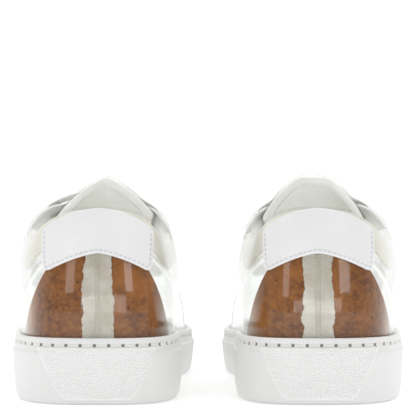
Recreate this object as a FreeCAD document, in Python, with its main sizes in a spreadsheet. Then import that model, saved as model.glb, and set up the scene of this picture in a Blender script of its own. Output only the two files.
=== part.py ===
import FreeCAD, Part
import os
from math import asin, exp, hypot, log, pi, sin

from FreeCAD import Vector

# A pair of low-top trainers with clear uppers, standing side by side, heels towards -Y and
# toes towards +Y. Each piece is worked out for the left shoe in that shoe's own frame
# (x towards the inner side of the foot, y towards the toe, z up from the ground), moved out
# by half the spacing of the pair, and mirrored to give the right shoe.

SIZES = {
    # overall
    "sole_length": 292.0,
    "sole_width": 101.0,
    "shoe_spacing": 104.0,
    # cup sole
    "ground_thickness": 5.0,
    "rim_heel": 31.5,
    "rim_waist": 29.0,
    "rim_ball": 24.0,
    "rim_toe": 25.5,
    "ledge_drop": 7.0,
    "ledge_step": 0.9,
    "foot_taper": 1.6,
    "rim_wall": 2.6,
    "upper_tuck": 6.5,
    "sole_stitch_drop": 3.4,
    "sole_stitch_pitch": 7.0,
    # inside the cup
    "fit_gap": 0.15,
    "cup_gap": 0.3,
    "layer_gap": 0.27,
    "filler_heel": 15.0,
    "filler_ball": 6.5,
    "board_thickness": 2.0,
    "footbed_thickness": 4.5,
    # upper
    "heel_dome": 128.0,
    "collar_dome": 116.0,
    "instep_dome": 101.0,
    "throat_dome": 82.0,
    "vamp_dome": 66.0,
    "ball_dome": 54.0,
    "toe_dome": 49.0,
    "clear_thickness": 1.0,
    "collar_back": 93.5,
    "collar_dip": 76.5,
    "ear_top": 95.5,
    "dip_from_heel": 65.0,
    "ear_from_heel": 103.0,
    "throat_from_heel": 160.0,
    "throat_half_top": 22.0,
    "throat_half_base": 13.0,
    "quarter_foot_from_heel": 206.0,
    "lap": 9.0,
    # heel
    "tape_half": 7.2,
    "tape_thickness": 0.4,
    "tape_top": 73.5,
    "counter_thickness": 1.5,
    "counter_top": 76.5,
    "counter_reach": 44.0,
    "lining_thickness": 0.7,
    "tab_half": 26.2,
    "tab_flare": 3.6,
    "tab_thickness": 1.3,
    "tab_top": 92.3,
    "tab_top_fall": 7.4,
    "tab_low": 71.3,
    "tab_low_fall": 9.8,
    "stitch_inset": 1.6,
    "stitch_pitch": 2.4,
    # collar, facings, tongue and lace
    "pad_thickness": 4.0,
    "pad_depth": 15.5,
    "facing_thickness": 1.0,
    "facing_width": 13.0,
    "eyelet_rows": 6,
    "eyelet_radius": 2.2,
    "eyelet_inset": 7.0,
    "tongue_thickness": 4.0,
    "tongue_cover": 0.6,
    "tongue_lining": 0.6,
    "tongue_top": 109.2,
    "tongue_half": 27.5,
    "tongue_base_half": 25.0,
    "tongue_fall": 23.5,
    "tongue_flat": 7.0,
    "tongue_overhang": 11.0,
    "tongue_clearance": 1.0,
    "lace_width": 5.5,
    "lace_thickness": 1.1,
}

doc = FreeCAD.newDocument("ClearTrainers")
sheet = doc.addObject("Spreadsheet::Sheet", "Sizes")
for row, (alias, value) in enumerate(SIZES.items(), start=1):
    sheet.set(f"A{row}", alias)
    sheet.set(f"B{row}", str(value))
    sheet.setAlias(f"B{row}", alias)
doc.recompute()


def size(alias):
    """A driving dimension, read back from the sheet."""
    return float(getattr(sheet, alias))


HALF_LENGTH = size("sole_length") / 2
HALF_WIDTH = size("sole_width") / 2

# Poles of the sole's edge as shares of half the length and half the width, anticlockwise
# from the back of the heel: the inner side, the toe, then the outer side.
EDGE_POLES = [
    (0.0, -1.005), (0.475, -0.99), (0.72, -0.87), (0.80, -0.66), (0.77, -0.40), (0.72, -0.14),
    (0.77, 0.14), (0.89, 0.40), (0.87, 0.66), (0.60, 0.88), (0.12, 1.005), (-0.48, 1.015),
    (-0.92, 0.88), (-1.12, 0.66), (-1.165, 0.40), (-1.07, 0.14), (-0.95, -0.14),
    (-0.905, -0.40), (-0.90, -0.66), (-0.78, -0.87), (-0.485, -0.99),
]
POLES = [(x * HALF_WIDTH, y * HALF_LENGTH) for x, y in EDGE_POLES]
TURNS = len(POLES)
TIP = 10.5                   # place of the toe tip along the edge, counted in poles
HEEL_PIVOT = -0.685 * HALF_LENGTH
TOE_PIVOT = 0.58 * HALF_LENGTH
PIVOT_EASE = 8.0
BACK = -HALF_LENGTH          # y of the back of the heel


def weights(t):
    """The four weights of a uniform cubic B-spline at t from 0 to 1 within a span."""
    return (
        (1 - t) ** 3 / 6,
        (3 * t**3 - 6 * t**2 + 4) / 6,
        (-3 * t**3 + 3 * t**2 + 3 * t + 1) / 6,
        t**3 / 6,
    )


def edge(place):
    """A point on the edge of the sole, at a place counted in poles round the edge."""
    span = int(place // 1)
    parts = weights(place - span)
    near = [POLES[(span + k - 1) % TURNS] for k in range(4)]
    return (
        sum(w * p[0] for w, p in zip(parts, near)),
        sum(w * p[1] for w, p in zip(parts, near)),
    )


def along(values, y):
    """A smooth curve of seven values spaced evenly from heel to toe, read at y."""
    last = len(values) - 1
    place = min(max((y / HALF_LENGTH / 0.822 + 1) / 2, 0), 1) * last
    span = min(int(place), last - 1)
    parts = weights(place - span)
    near = [values[min(max(span + k - 1, 0), last)] for k in range(4)]
    return sum(w * v for w, v in zip(parts, near))


RIM_LINE = [size("rim_heel")] * 2 + [size("rim_waist")]
RIM_LINE += [(size("rim_waist") + size("rim_ball")) / 2, size("rim_ball"), size("rim_ball")]
RIM_LINE += [size("rim_toe")]
RIDGE_LINE = [
    size(name + "_dome")
    for name in ("heel", "collar", "instep", "throat", "vamp", "ball", "toe")
]
RISE_POWER = [1.5, 2.2, 4.6, 3.4, 2.3, 2.0, 2.0]
SIDE_POWER = [3.0, 2.9, 2.6, 2.4, 2.4, 2.5, 2.6]
BULGE = [0.0, 0.05, 0.16, 0.09, 0.03, 0.0, 0.0]


def rim(y):
    return along(RIM_LINE, y)


def ridge(y):
    return along(RIDGE_LINE, y)


def soft_above(y, low):
    """y where it is well above low, and low where it is well below, with no corner."""
    return low + PIVOT_EASE * log(1 + exp((y - low) / PIVOT_EASE))


def spine(y):
    """The middle line of the foot: sections turn about its two ends and cross it between."""
    middle = soft_above(y, HEEL_PIVOT) - soft_above(y, TOE_PIVOT) + TOE_PIVOT
    share = min(max((middle / HALF_LENGTH + 0.685) / 1.03, 0), 1)
    return -0.15 * HALF_WIDTH * share**2 * (3 - 2 * share), middle


UPPER_INSET = size("foot_taper") + size("rim_wall") + size("cup_gap")


def rise(place, z):
    """How far z is between the rim and the ridge at a place round the edge, from 0 to 1."""
    middle = spine(edge(place)[1])[1]
    low = rim(middle)
    return (z - low) / (ridge(middle) - low)


def last_point(place, share):
    """A point on the outside of the upper: share 0 is the rim and 1 the ridge above it."""
    x, y = edge(place)
    across, middle = spine(y)
    reach = hypot(x - across, y - middle)
    low, top = rim(middle), ridge(middle)
    up = min(max(share, 0.0), 1.0)
    wide = (1 - up ** along(RISE_POWER, middle)) ** (1 / along(SIDE_POWER, middle))
    wide *= 1 + 4 * along(BULGE, middle) * up * (1 - up)
    scale = (reach - UPPER_INSET) * wide / reach
    return Vector(
        across + (x - across) * scale,
        middle + (y - middle) * scale,
        low + (top - low) * share,
    )


def outward(place, share):
    """The direction out of the upper at a point."""
    share = min(max(share, 0.0), 0.985)
    step = 0.004
    round_edge = last_point(place + step, share) - last_point(place - step, share)
    upwards = last_point(place, share + step) - last_point(place, max(share - step, 0))
    normal = round_edge.cross(upwards)
    return normal.normalize()


def layer_point(place, share, depth):
    """A point a depth inside the outside of the upper."""
    return last_point(place, share) - outward(place, share) * depth


def place_at(y, side):
    """The place where the edge reaches y, on the inner (1) or outer (-1) side."""
    near, far = (0.0, TIP) if side > 0 else (0.0, TIP - TURNS)
    for _ in range(40):
        half = (near + far) / 2
        if edge(half)[1] < y:
            near = half
        else:
            far = half
    return (near + far) / 2


def walk(distance):
    """The place reached by going a distance round the heel from its back, either way."""
    step = 0.01 if distance > 0 else -0.01
    place, gone = 0.0, 0.0
    previous = last_point(0.0, 0.4)
    while gone < abs(distance):
        place += step
        point = last_point(place, 0.4)
        gone += (point - previous).Length
        previous = point
    return place


def collar_line(y):
    """Height of the opening's edge behind the ears."""
    dip = BACK + size("dip_from_heel")
    if y < dip:
        rise_back = size("collar_back") - size("collar_dip")
        return size("collar_dip") + rise_back * ((dip - y) / (dip - BACK)) ** 1.6
    ahead = (y - dip) / (size("ear_from_heel") - size("dip_from_heel"))
    return size("collar_dip") + (size("ear_top") - size("collar_dip")) * ahead**2.2


def throat_half(y):
    """Half the width of the gap over the tongue."""
    ear, base = BACK + size("ear_from_heel"), BACK + size("throat_from_heel")
    share = min(max((y - ear) / (base - ear), 0), 1)
    return size("throat_half_top") + (size("throat_half_base") - size("throat_half_top")) * share


def throat_line(place, widen=0.0):
    """Height at which the upper narrows to the throat's half width, plus widen."""
    x, y = edge(place)
    across, middle = spine(y)
    reach = hypot(x - across, y - middle) - UPPER_INSET
    share = min((throat_half(middle) + widen) / reach, 1)
    up = (1 - share ** along(SIDE_POWER, middle)) ** (1 / along(RISE_POWER, middle))
    return rim(middle) + (ridge(middle) - rim(middle)) * up


def top_line(place):
    """The upper edge of a quarter: collar behind, throat in front, round at the ear."""
    collar, throat = collar_line(edge(place)[1]), throat_line(place)
    ease = 2.5
    return -ease * log(exp(-collar / ease) + exp(-throat / ease))


def between(first, second, share):
    return first + (second - first) * share


def panel(point, columns, rows, depth, thickness):
    """A closed shell: a smooth skin through a grid of points, and one a thickness inside.

    point(a, b) gives the place and rise for shares a along and b up the panel.
    """
    skins = []
    for inside in (depth, depth + thickness):
        grid = []
        for i in range(columns + 1):
            cells = [point(i / columns, j / rows) for j in range(rows + 1)]
            grid.append([layer_point(place, share, inside) for place, share in cells])
        surface = Part.BSplineSurface()
        surface.interpolate(grid)
        skins.append(surface.toShape())
    return closed_shell(skins)


def closed_shell(skins):
    """Joins two matching skins by their four edges into one solid."""
    walls = [Part.makeRuledSurface(a, b) for a, b in zip(skins[0].Edges, skins[1].Edges)]
    shell = Part.makeShell(skins + walls)
    shell.sewShape()
    solid = Part.makeSolid(Part.Shell(shell.Faces))
    if solid.Volume < 0:
        solid.reverse()
    return solid


def strip(start, end, low, high, columns, rows, depth, thickness, gather=1.0):
    """A panel between two places, with its lower and upper heights given at each place.

    A gather above 1 draws the columns of the grid together near the start.
    """

    def point(a, b):
        place = between(start(b), end(b), a**gather)
        return place, rise(place, between(low(place), high(place), b))

    return panel(point, columns, rows, depth, thickness)


NODES = []


def shift_to_left(part_object):
    part_object.setExpression("Placement.Base.x", "-Sizes.shoe_spacing / 2")


def add_shape(name, shape, hidden=False):
    """Adds one piece of the left shoe, made by the functions above."""
    piece = doc.addObject("Part::Feature", name)
    piece.Shape = shape
    piece.Label = name
    shift_to_left(piece)
    if not hidden:
        NODES.append(piece)
    return piece


# Sole, filler, board and footbed: each is a side outline drawn on the YZ plane, padded
# across the shoe, and trimmed to the shape of the foot seen from above.

def origin_plane(body, role):
    return next(f for f in body.Origin.OriginFeatures if f.Role == role)


def add_sketch(body, name, role):
    sketch = body.newObject("Sketcher::SketchObject", name)
    sketch.AttachmentSupport = [(origin_plane(body, role), "")]
    sketch.MapMode = "FlatFace"
    return sketch


def edge_curve(inset):
    """The edge of the sole, drawn in by an inset, as one closed curve."""
    points = []
    for k in range(2 * TURNS):
        x, y = edge(k / 2)
        across, middle = spine(y)
        reach = hypot(x - across, y - middle)
        scale = (reach - inset) / reach
        points.append(Vector(across + (x - across) * scale, middle + (y - middle) * scale, 0))
    curve = Part.BSplineCurve()
    curve.interpolate(points, PeriodicFlag=True)
    return curve


def side_curve(height):
    """A height along the shoe as a line on the YZ plane, running past both ends."""
    stops = [1.15 * HALF_LENGTH * (k / 6 - 1) for k in range(13)]
    if max(height(y) for y in stops) - min(height(y) for y in stops) < 1e-6:
        first, last = stops[0], stops[-1]
        return Part.LineSegment(Vector(first, height(first), 0), Vector(last, height(last), 0))
    curve = Part.BSplineCurve()
    curve.interpolate([Vector(y, height(y), 0) for y in stops])
    return curve


def slab(name, low, high, inset):
    """A body between two heights along the shoe, trimmed to the inset edge of the sole."""
    body = doc.addObject("PartDesign::Body", name)
    profile = add_sketch(body, name + "_side", "YZ_Plane")
    lower, upper = side_curve(low), side_curve(high)
    ends = [(lower.StartPoint, upper.StartPoint), (lower.EndPoint, upper.EndPoint)]
    profile.addGeometry([lower, upper] + [Part.LineSegment(a, b) for a, b in ends])
    pad = body.newObject("PartDesign::Pad", name + "_pad")
    pad.Profile = profile
    pad.Midplane = True
    pad.setExpression("Length", "Sizes.sole_width * 1.6")
    trim = add_sketch(body, name + "_edge", "XY_Plane")
    wide, long = 2 * HALF_WIDTH, 1.3 * HALF_LENGTH
    ends = ((-wide, -long), (wide, -long), (wide, long), (-wide, long))
    corners = [Vector(x, y, 0) for x, y in ends]
    box = [Part.LineSegment(a, b) for a, b in zip(corners, corners[1:] + corners[:1])]
    trim.addGeometry(box + [edge_curve(inset)])
    pocket = body.newObject("PartDesign::Pocket", name + "_trim")
    pocket.Profile = trim
    pocket.Type = "ThroughAll"
    pocket.Midplane = True
    doc.recompute()
    return body


def ground(y):
    return 0.0


def floor_height(y):
    return size("ground_thickness")


def filler_top(y):
    share = min(max((y + 0.5 * HALF_LENGTH) / HALF_LENGTH, 0), 1)
    fall = share**2 * (3 - 2 * share)
    return between(size("filler_heel"), size("filler_ball"), fall)


def above(height, extra):
    return lambda y: height(y) + extra


def ledge(y):
    return rim(y) - size("ledge_drop")


GAP = size("fit_gap")
CUP_INSET = size("foot_taper") + size("rim_wall")
lower_wall = slab("sole_lower_wall", ground, ledge, 0.0)
upper_wall = slab("sole_upper_wall", above(ledge, -1.0), rim, size("ledge_step"))
hollow = slab("sole_hollow", floor_height, above(rim, 5.0), CUP_INSET)
walls = doc.addObject("Part::Fuse", "sole_walls")
walls.Base, walls.Tool = lower_wall, upper_wall
outsole = doc.addObject("Part::Cut", "left_outsole")
outsole.Base, outsole.Tool = walls, hollow
outsole.Label = "left_outsole"
shift_to_left(outsole)
NODES.append(outsole)

BOARD_INSET = CUP_INSET + 5.0
SLABS = [
    ("left_midsole_filler", above(floor_height, GAP), filler_top, CUP_INSET + GAP),
    ("left_insole_board", above(filler_top, GAP),
     above(filler_top, GAP + size("board_thickness")), BOARD_INSET),
    ("left_footbed", above(filler_top, 2 * GAP + size("board_thickness")),
     above(filler_top, 2 * GAP + size("board_thickness") + size("footbed_thickness")),
     BOARD_INSET + GAP),
]
for name, low, high, inset in SLABS:
    body = slab(name, low, high, inset)
    body.Label = name
    shift_to_left(body)
    NODES.append(body)


# Upper: clear quarters and vamp, and what shows through them.

def tuck(place):
    """The lower edge of the upper, down inside the cup."""
    return rim(spine(edge(place)[1])[1]) - size("upper_tuck")


def steady(value):
    return lambda share: value


SEAM = walk(GAP / 2)
CLEAR = size("clear_thickness")
LAYER_GAP = size("layer_gap")
UNDER = CLEAR + LAYER_GAP
EAR_Y = BACK + size("ear_from_heel")
THROAT_Y = BACK + size("throat_from_heel")
QUARTER_FOOT_Y = BACK + size("quarter_foot_from_heel")
SIDES = (("medial", 1), ("lateral", -1))
VAMP_EASE = 4.0              # the vamp starts this far in front of the throat's end


def eyelet_spots(side):
    """Places and heights of the lace holes in one facing, ear first."""
    rows = int(size("eyelet_rows"))
    spots = []
    for k in range(rows):
        y = between(EAR_Y + 7.0, THROAT_Y - 7.0, k / (rows - 1))
        place = place_at(y, side)
        spots.append((place, rise(place, throat_line(place, size("eyelet_inset")))))
    return spots


def punch(side, radius):
    """Round cutters through every layer at the lace holes of one facing."""
    cutters = []
    for place, share in eyelet_spots(side):
        normal = outward(place, share)
        start = last_point(place, share) + normal * 3.0
        cutters.append(Part.makeCylinder(radius, 8.0, start, normal * -1))
    return cutters


for label, side in SIDES:
    quarter = strip(
        steady(side * SEAM),
        lambda b: place_at(between(QUARTER_FOOT_Y, THROAT_Y + 8.0, b**0.8), side),
        tuck, top_line, 48, 14, 0.0, CLEAR, 1.6,
    )
    quarter = quarter.cut(Part.makeCompound(punch(side, size("eyelet_radius"))))
    add_shape(f"left_quarter_{label}", quarter)

    facing = strip(
        steady(place_at(EAR_Y - 3.0, side)),
        steady(place_at(THROAT_Y + 1.0, side)),
        lambda place: throat_line(place, size("facing_width")),
        lambda place: top_line(place) - 0.3,
        16, 4, UNDER, size("facing_thickness"),
    )
    facing = facing.cut(Part.makeCompound(punch(side, size("eyelet_radius"))))
    add_shape(f"left_facing_{label}", facing)

    pad_end = place_at(EAR_Y - 12.0, side)
    pad = strip(
        steady(side * SEAM),
        steady(pad_end),
        lambda place: top_line(place) - size("pad_depth"),
        lambda place: top_line(place) - 0.4,
        24, 4, UNDER, size("pad_thickness"), 1.4,
    )
    add_shape(f"left_collar_pad_{label}", pad)


def vamp_point(a, b):
    """Grid over the toe: a runs from the lap seam to the toe, b from inner to outer side.

    The rows bend from straight sections behind the toe's pivot into a half disc over it.
    """
    across = 2 * b - 1
    turn = 0.5
    if a <= turn:
        top, foot = THROAT_Y + VAMP_EASE, QUARTER_FOOT_Y - size("lap")
        start = between(top, foot, abs(across) ** 1.5)
        y = between(start, TOE_PIVOT, a / turn)
        radius, side = abs(across), 1 if across < 0 else -1
        place = place_at(y, side)
    else:
        ahead = (a - turn) / (1 - turn)
        x = across * (1 - ahead**2 / 2) ** 0.5
        y = ahead * (1 - across**2 / 2) ** 0.5
        radius = min(hypot(x, y), 1.0)
        side = 1 if across < 0 else -1
        pivot_place = place_at(TOE_PIVOT, side)
        tip_place = TIP if side > 0 else TIP - TURNS
        lean = 1.0 if radius == 0 else abs(x) / radius
        turned = 1 - (2 / pi) * asin(min(lean, 1.0))
        place = between(pivot_place, tip_place, turned)
    angle = (1 - radius) * pi / 2
    middle = spine(edge(place)[1])[1]
    share = sin(angle) ** (2 / along(RISE_POWER, middle))
    return place, share


def vamp_skin(depth, columns=24, rows=24):
    grid = []
    for i in range(columns + 1):
        line = []
        for j in range(rows + 1):
            place, share = vamp_point(i / columns, j / rows)
            point = last_point(place, share)
            normal = outward(place, share) if share < 0.985 else Vector(0, 0, 1)
            line.append(point - normal * depth)
        grid.append(line)
    surface = Part.BSplineSurface()
    surface.interpolate(grid)
    return surface.toShape()


add_shape("left_vamp", closed_shell([vamp_skin(UNDER), vamp_skin(UNDER + CLEAR)]))


# Heel: tape over the back seam, stiff counter, lining and the leather tab outside.

def counter_line(place):
    """The counter's upper edge: high at the back, falling to the rim along its wings."""
    back = edge(place)[1] - BACK
    left = max(1 - back / size("counter_reach"), 0)
    foot = rim(BACK) + 1.5
    return foot + (size("counter_top") - foot) * left**1.5


def heel_strip(name, half_reach, low, high, columns, depth, thickness):
    """A piece that goes round the heel, the same distance to both sides of the seam."""
    inner, outer = half_reach
    shape = strip(steady(outer), steady(inner), low, high, columns, 8, depth, thickness)
    return add_shape(name, shape)


tape_ends = (walk(size("tape_half")), walk(-size("tape_half")))
heel_strip("left_back_seam_tape", tape_ends, tuck, lambda place: size("tape_top"), 6,
           UNDER, size("tape_thickness"))
wing_y = BACK + size("counter_reach")
wings = (place_at(wing_y, 1), place_at(wing_y, -1))
counter_depth = UNDER + size("tape_thickness") + LAYER_GAP
heel_strip("left_heel_counter", wings, tuck, counter_line, 40,
           counter_depth, size("counter_thickness"))
lining_depth = counter_depth + size("counter_thickness") + LAYER_GAP
heel_strip("left_heel_lining", wings, tuck, lambda place: counter_line(place) - 1.0, 40,
           lining_depth, size("lining_thickness"))

TAB_ENDS = (walk(size("tab_half")), walk(-size("tab_half")))


def tab_share(place):
    """How far a place is from the seam towards the tab's end, from 0 to 1."""
    return abs(place / TAB_ENDS[0 if place > 0 else 1])


def tab_high(place):
    return size("tab_top") - size("tab_top_fall") * tab_share(place) ** 2


def tab_bottom(place):
    return size("tab_low") - size("tab_low_fall") * tab_share(place) ** 1.5


FLARE = size("tab_flare") / size("tab_half")


def flared(end):
    """An end of the tab, further round the heel the higher it is."""
    return lambda b: end * (1 + FLARE * b)


add_shape("left_heel_tab", strip(
    flared(TAB_ENDS[1]), flared(TAB_ENDS[0]), tab_bottom, tab_high, 24, 8,
    -LAYER_GAP - size("tab_thickness"), size("tab_thickness"),
))


# Stitching: rows of short threads that lie just clear of the face they hold.

THREAD_WIDE, THREAD_HIGH, THREAD_GAP = 0.5, 0.35, 0.12


def stitches(path, pitch, share=0.66):
    """Short threads spaced along a path of (point, outward direction) pairs."""
    threads = []
    gone, due = 0.0, pitch / 2
    for (start, normal), (end, _) in zip(path, path[1:]):
        run = (end - start).Length
        while run > 0 and gone + run >= due:
            along_path = (end - start).normalize()
            centre = start + along_path * (due - gone)
            across_path = normal.cross(along_path).normalize()
            threads.append(thread(centre, along_path, across_path, pitch * share))
            due += pitch
        gone += run
    return Part.makeCompound(threads)


def thread(centre, along_path, across_path, length):
    """One thread, a small block along the path with its under face on the path."""
    up = along_path.cross(across_path)
    corner = centre - along_path * (length / 2) - across_path * (THREAD_WIDE / 2)
    corners = [
        corner,
        corner + along_path * length,
        corner + along_path * length + across_path * THREAD_WIDE,
        corner + across_path * THREAD_WIDE,
        corner,
    ]
    face = Part.Face(Part.makePolygon(corners))
    return face.extrude(up * THREAD_HIGH)


def path_on_upper(spots, depth):
    """A path over the upper through (place, height) spots, held a depth inside it."""
    path = []
    for place, z in spots:
        share = rise(place, z)
        path.append((layer_point(place, share, depth), outward(place, share)))
    return path


def stretch(first, second, count):
    return [between(first, second, k / count) for k in range(count + 1)]


def tab_stitch_spots():
    """Down one end of the tab, along its lower edge and up the other end."""
    inset = size("stitch_inset")
    inner, outer = (walk(size("tab_half") - inset), walk(inset - size("tab_half")))
    spots = []
    for z_share in stretch(0.9, 0.0, 12):
        low, high = tab_bottom(outer) + inset, tab_high(outer)
        spots.append((outer * (1 + FLARE * z_share), between(low, high, z_share)))
    spots += [(place, tab_bottom(place) + inset) for place in stretch(outer, inner, 60)[1:]]
    for z_share in stretch(0.0, 0.9, 12)[1:]:
        low, high = tab_bottom(inner) + inset, tab_high(inner)
        spots.append((inner * (1 + FLARE * z_share), between(low, high, z_share)))
    return spots


tab_face = -LAYER_GAP - size("tab_thickness") - THREAD_GAP
add_shape("left_heel_tab_stitching",
          stitches(path_on_upper(tab_stitch_spots(), tab_face), size("stitch_pitch")))

seam_rows = []
for offset in (-1.0, 1.0):
    seam_place = walk(offset)
    seam_spots = [(seam_place, z) for z in stretch(rim(BACK) + 1.5, size("tab_low") - 1.5, 24)]
    seam_rows.append(stitches(path_on_upper(seam_spots, -THREAD_GAP), 1.7))
add_shape("left_back_seam_stitching", Part.makeCompound(seam_rows))


def wall_path():
    """Round the sole, just outside its upper wall and a little below the rim."""
    inset = size("ledge_step") - THREAD_GAP - 0.1
    path = []
    for k in range(16 * TURNS + 1):
        x, y = edge(k / 16)
        across, middle = spine(y)
        out = Vector(x - across, y - middle, 0)
        reach = out.Length
        out.normalize()
        height = rim(middle) - size("sole_stitch_drop")
        path.append((Vector(across, middle, height) + out * (reach - inset), out))
    return path


add_shape("left_sole_stitching", stitches(wall_path(), size("sole_stitch_pitch"), 0.72))

lap_rows, facing_rows = [], []
for label, side in SIDES:
    lap_spots = []
    for b in stretch(0.21, 0.97, 30):
        place = place_at(between(QUARTER_FOOT_Y, THROAT_Y + 8.0, b**0.8) - 2.5, side)
        lap_spots.append((place, between(tuck(place), top_line(place), b)))
    lap_rows.append(stitches(path_on_upper(lap_spots, -THREAD_GAP), size("stitch_pitch")))
    for drop in (2.0, size("facing_width") - 3.0):
        facing_spots = []
        for place in stretch(place_at(EAR_Y + 2.0, side), place_at(THROAT_Y, side), 24):
            facing_spots.append((place, throat_line(place, drop)))
        path = path_on_upper(facing_spots, -THREAD_GAP)
        facing_rows.append(stitches(path, size("stitch_pitch")))
add_shape("left_vamp_stitching", Part.makeCompound(lap_rows))
add_shape("left_facing_stitching", Part.makeCompound(facing_rows))


# Tongue and lace: arches over the foot, each a depth inside or outside the upper's shape.

def dome_height(x, y, depth):
    """Height over (x, y) of the upper's shape drawn in by a depth."""
    across = spine(y)[0]
    side = 1 if x >= across else -1
    place = place_at(y, side)
    rim_point = last_point(place, 0.0)
    reach = abs(rim_point.x - across)
    wanted = abs(x - across) * reach / (reach - depth)
    near, far = 0.0, 1.0
    for _ in range(30):
        half = (near + far) / 2
        if abs(last_point(place, half).x - across) > wanted:
            near = half
        else:
            far = half
    low, top = rim(y), ridge(y)
    return low + (top - depth - low) * near


def arch(point, columns, rows, outer, inner):
    """A closed arch: a smooth skin through point(a, b), taken at two depths under it."""

    def skin_point(a, b, depth):
        step = 0.01
        across_arch = point(a + step, b) - point(a - step, b)
        along_arch = point(a, b + step) - point(a, b - step)
        up = across_arch.cross(along_arch).normalize()
        if up.z < 0:
            up = up * -1
        return point(a, b) - up * depth

    skins = []
    for depth in (outer, inner):
        grid = []
        for i in range(columns + 1):
            grid.append([skin_point(i / columns, j / rows, depth) for j in range(rows + 1)])
        surface = Part.BSplineSurface()
        surface.interpolate(grid)
        skins.append(surface.toShape())
    return closed_shell(skins)


TONGUE_BASE_Y = THROAT_Y + 10.0
TONGUE_TIP_Y = EAR_Y - size("tongue_overhang")
TONGUE_RISE_Y = EAR_Y + 14.0
LACE_BED = UNDER + size("facing_thickness") + size("tongue_clearance")
PAD_BED = UNDER + size("pad_thickness") + size("tongue_clearance")


def ease(share):
    share = min(max(share, 0.0), 1.0)
    return share**2 * (3 - 2 * share)


def tongue_sink(y):
    """Depth of the tongue's outer face: under the facings, then inside the collar pads."""
    return between(LACE_BED, PAD_BED, ease((EAR_Y + 12.0 - y) / 14.0))


def tongue_end(x, flat):
    """Height of the free end: an arch whose top is level for the flat half width."""
    out = max(abs(x) - flat, 0) / (size("tongue_half") - flat)
    return size("tongue_top") - size("tongue_fall") * out**1.6


def tongue_pieces(prefix, flat, hidden):
    """Clear cover, padded middle and lining of one tongue."""
    def point(a, b):
        half = between(size("tongue_base_half"), size("tongue_half"), b)
        y = between(TONGUE_BASE_Y, TONGUE_TIP_Y, b)
        out = (2 * a - 1) * half
        x = spine(y)[0] + out
        share = ease((TONGUE_RISE_Y - y) / (TONGUE_RISE_Y - TONGUE_TIP_Y))
        bed = dome_height(x, y, tongue_sink(y))
        return Vector(x, y, between(bed, tongue_end(out, flat), share))

    made = []
    depth = 0.0
    for name, key in (("_cover", "tongue_cover"), ("", "tongue_thickness"),
                      ("_lining", "tongue_lining")):
        shape = arch(point, 20, 14, depth, depth + size(key))
        made.append(add_shape(prefix + name, shape, hidden))
        depth += size(key) + GAP
    return made


tongue_pieces("left_tongue", 0.0, hidden=False)
flat_tongue = tongue_pieces("flat_tongue", size("tongue_flat"), hidden=True)

LACE_GAP = 0.6
LACE_END = 2.6
lace_runs = []
eyelets = {side: eyelet_spots(side) for _, side in SIDES}
for inner_spot, outer_spot in zip(eyelets[1], eyelets[-1]):
    ends = [last_point(*inner_spot), last_point(*outer_spot)]
    half_band = size("lace_width") / 2

    def bar_point(a, b, ends=ends):
        x = between(ends[1].x - 1.0, ends[0].x + 1.0, a)
        y = between(ends[1].y, ends[0].y, a) + between(half_band, -half_band, b)
        return Vector(x, y, dome_height(x, y, 0.0))

    lace_runs.append(arch(bar_point, 16, 3, -LACE_GAP - size("lace_thickness"), -LACE_GAP))
for label, side in SIDES:
    for place, share in eyelets[side]:
        normal = outward(place, share)
        start = last_point(place, share) + normal * (LACE_GAP - 0.15)
        lace_end = Part.makeCylinder(size("eyelet_radius") - 0.5, LACE_END, start, normal * -1)
        lace_runs.append(lace_end)
add_shape("left_lace", Part.makeCompound(lace_runs))


# The right shoe: every left piece seen in a mirror; its tongue has the flatter end.

def mirrored(source, name):
    image = doc.addObject("Part::Mirroring", name)
    image.Source = source
    image.Normal = Vector(1, 0, 0)
    image.Label = name
    return image


for piece in list(NODES):
    name = piece.Label.replace("left_", "right_")
    if "tongue" in name:
        source = next(p for p in flat_tongue if p.Name == piece.Name.replace("left_", "flat_"))
    else:
        source = piece
    NODES.append(mirrored(source, name))

doc.recompute()
for part_object in doc.Objects:
    if {"Invalid", "Error"} & set(part_object.State):
        raise RuntimeError(f"{part_object.Label} failed: {part_object.State}")
for piece in NODES:
    if piece.Shape.isNull() or not piece.Shape.isValid():
        raise RuntimeError(f"{piece.Label} has no valid shape")
    box = piece.Shape.BoundBox
    limits = [round(v, 1) for v in (box.XMin, box.XMax, box.YMin, box.YMax, box.ZMin, box.ZMax)]
    print(f"{piece.Label}: {len(piece.Shape.Solids)} solids, {piece.Shape.Volume:.0f} mm3", limits)

os.makedirs("parts", exist_ok=True)
for piece in NODES:
    piece.Shape.exportStep(f"parts/{piece.Label}.step")
print(len(NODES), "pieces written")
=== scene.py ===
# %% [markdown]
# # A pair of trainers with clear uppers
#
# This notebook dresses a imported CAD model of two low-top trainers. The CAD holds the sizes,
# the joints and the simple solids. Here each visible piece is built again as a finer surface
# on the same formulas, gets a procedural finish, and rides on the CAD body that it belongs
# to. Everything is in metres, heels towards -Y, toes towards +Y, the ground at z = 0.

# %% Load the frame
import math

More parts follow.
